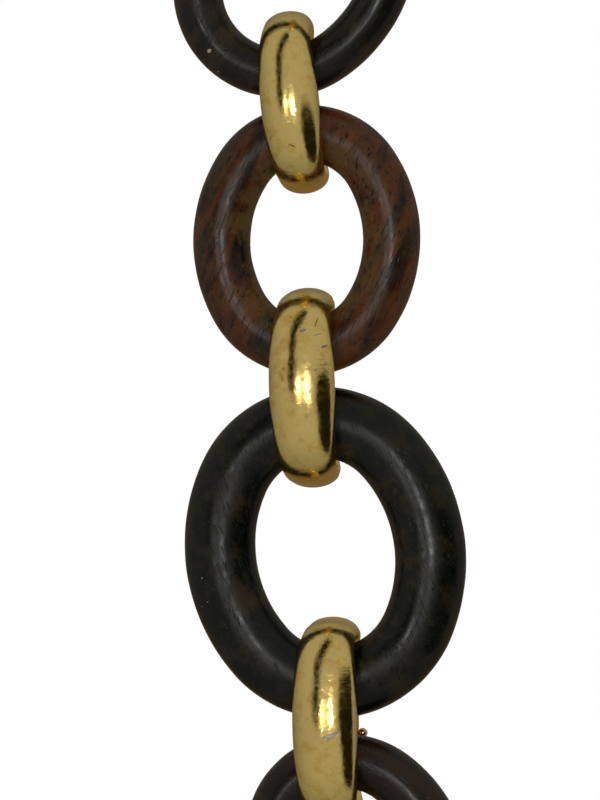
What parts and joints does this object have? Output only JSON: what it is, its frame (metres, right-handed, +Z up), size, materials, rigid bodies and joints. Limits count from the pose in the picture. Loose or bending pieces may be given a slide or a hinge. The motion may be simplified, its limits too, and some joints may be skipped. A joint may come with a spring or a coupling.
{
  "type": "link bracelet",
  "caption": "Opened link bracelet that hangs from its clasp: oval dark wooden rings joined by broad, polished gilt oval links, two of which open at a hinged back gate.",
  "frame": {"origin": "the middle of the place inside the top of the clasp link where it hangs on a peg", "axes": "+Z up along the hanging bracelet, +X to the right seen from the front, the wide faces of the gilt links face -Y"},
  "size_m": [0.0352, 0.0149, 0.1908],
  "materials": {
    "wood_link_1": "satin wax",
    "wood_link_2": "satin wax",
    "wood_link_3": "satin wax",
    "wood_link_4": "satin wax",
    "wood_link_5": "satin wax",
    "polished_gilt": "polished gilt, lightly worn",
    "tongue_steel": "spring steel"
  },
  "bodies": {
    "clasp": {"clasp_body": "polished_gilt", "clasp_hinge_pin": "polished_gilt"},
    "clasp_gate": {"clasp_gate": "polished_gilt", "clasp_tongue_spring": "tongue_steel"},
    "clasp_push_ball": {"clasp_push_ball": "polished_gilt"},
    "wood_link_1": {"wood_link_1": "wood_link_1"},
    "gilt_link_1": {"gilt_link_1": "polished_gilt", "gilt_link_1_closing_piece": "polished_gilt"},
    "wood_link_2": {"wood_link_2": "wood_link_2"},
    "gilt_link_2": {"gilt_link_2": "polished_gilt", "gilt_link_2_closing_piece": "polished_gilt"},
    "wood_link_3": {"wood_link_3": "wood_link_3"},
    "midway_catch": {"midway_catch_body": "polished_gilt", "midway_catch_hinge_pin": "polished_gilt"},
    "midway_catch_gate": {"midway_catch_gate": "polished_gilt", "midway_catch_tongue_spring": "tongue_steel"},
    "midway_catch_push_ball": {"midway_catch_push_ball": "polished_gilt"},
    "wood_link_4": {"wood_link_4": "wood_link_4"},
    "gilt_link_4": {"gilt_link_4": "polished_gilt", "gilt_link_4_closing_piece": "polished_gilt"},
    "wood_link_5": {"wood_link_5": "wood_link_5"}
  },
  "joints": [
    {"name": "clasp_gate_hinge", "type": "hinge", "parent": "clasp", "child": "clasp_gate", "pos_m": [-0.00031, 0.00546, -0.00461], "axis": [0.9976, 0, -0.0698], "range_deg": [0, 55]},
    {"name": "clasp_ball_press", "type": "slide", "parent": "clasp_gate", "child": "clasp_push_ball", "axis": [-0.9976, 0, 0.0698], "range_m": [0, 0.00023], "stiffness_N_per_m": 400},
    {"name": "wood_link_1_sway", "type": "hinge", "parent": "clasp", "child": "wood_link_1", "pos_m": [-0.00246, 0, -0.02371], "axis": [0, 1, 0], "range_deg": [-20, 20]},
    {"name": "gilt_link_1_swing", "type": "hinge", "parent": "wood_link_1", "child": "gilt_link_1", "pos_m": [-0.00554, 0, -0.04024], "axis": [1, 0, 0], "range_deg": [-30, 60]},
    {"name": "wood_link_2_sway", "type": "hinge", "parent": "gilt_link_1", "child": "wood_link_2", "pos_m": [-0.00491, 0, -0.05689], "axis": [0, 1, 0], "range_deg": [-20, 20]},
    {"name": "gilt_link_2_swing", "type": "hinge", "parent": "wood_link_2", "child": "gilt_link_2", "pos_m": [-0.00563, 0, -0.07326], "axis": [1, 0, 0], "range_deg": [-10, 60]},
    {"name": "wood_link_3_sway", "type": "hinge", "parent": "gilt_link_2", "child": "wood_link_3", "pos_m": [-0.006, 0, -0.09365], "axis": [0, 1, 0], "range_deg": [-20, 20]},
    {"name": "midway_catch_swing", "type": "hinge", "parent": "wood_link_3", "child": "midway_catch", "pos_m": [-0.00531, 0, -0.11373], "axis": [1, 0, 0], "range_deg": [-8, 35]},
    {"name": "midway_catch_gate_hinge", "type": "hinge", "parent": "midway_catch", "child": "midway_catch_gate", "pos_m": [-0.0051, 0.00551, -0.11414], "axis": [0.9932, -0.1045, -0.052], "range_deg": [0, 55]},
    {"name": "midway_catch_ball_press", "type": "slide", "parent": "midway_catch_gate", "child": "midway_catch_push_ball", "axis": [-0.9932, 0.1045, 0.052], "range_m": [0, 0.00023], "stiffness_N_per_m": 400},
    {"name": "wood_link_4_sway", "type": "hinge", "parent": "midway_catch", "child": "wood_link_4", "pos_m": [-0.00536, 0, -0.13213], "axis": [0, 1, 0], "range_deg": [-20, 20]},
    {"name": "gilt_link_4_swing", "type": "hinge", "parent": "wood_link_4", "child": "gilt_link_4", "pos_m": [-0.00284, 0, -0.14803], "axis": [1, 0, 0], "range_deg": [-10, 60]},
    {"name": "wood_link_5_sway", "type": "hinge", "parent": "gilt_link_4", "child": "wood_link_5", "pos_m": [-0.00204, 0, -0.16744], "axis": [0, 1, 0], "range_deg": [-20, 20]}
  ]
}
